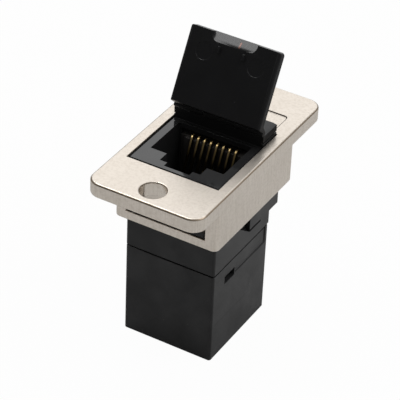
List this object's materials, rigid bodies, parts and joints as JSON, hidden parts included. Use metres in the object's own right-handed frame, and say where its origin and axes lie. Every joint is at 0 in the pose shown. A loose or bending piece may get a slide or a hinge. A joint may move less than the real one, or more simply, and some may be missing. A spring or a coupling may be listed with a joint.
{
  "type": "ethernet keystone coupler",
  "caption": "Panel-mount ethernet feed-through: a satin cast flange carries a black snap-in coupler with a modular jack at each end and a hinged dust flap over the front port.",
  "frame": {"origin": "middle of the screw-hole pattern on the flange's underside, which lies on the panel", "axes": "+Z out of the panel through the front port, +Y along the flange towards the flap's hinge, +X along the hinge"},
  "size_m": [0.0182, 0.0352, 0.0435],
  "materials": {
    "nickel": "satin nickel plate",
    "black_plastic": "semi-gloss",
    "carrier_plastic": "matt",
    "pin_steel": "drawn",
    "contact_gold": "gold plate",
    "board": "solder mask"
  },
  "bodies": {
    "coupler": {"metal_frame": "nickel", "front_housing": "black_plastic", "rear_shell": "black_plastic", "hinge_pin": "pin_steel", "front_carrier": "carrier_plastic", "rear_carrier": "carrier_plastic", "circuit_board": "board", "front_contact_1": "contact_gold", "front_contact_2": "contact_gold", "front_contact_3": "contact_gold", "front_contact_4": "contact_gold", "front_contact_5": "contact_gold", "front_contact_6": "contact_gold", "front_contact_7": "contact_gold", "front_contact_8": "contact_gold", "rear_contact_1": "contact_gold", "rear_contact_2": "contact_gold", "rear_contact_3": "contact_gold", "rear_contact_4": "contact_gold", "rear_contact_5": "contact_gold", "rear_contact_6": "contact_gold", "rear_contact_7": "contact_gold", "rear_contact_8": "contact_gold"},
    "flap": {"dust_flap": "black_plastic"}
  },
  "joints": [
    {"name": "flap_hinge", "type": "hinge", "parent": "coupler", "child": "flap", "pos_m": [0, 0.00295, 0.0043], "axis": [1, 0, 0], "range_deg": [0, 118.5]}
  ]
}
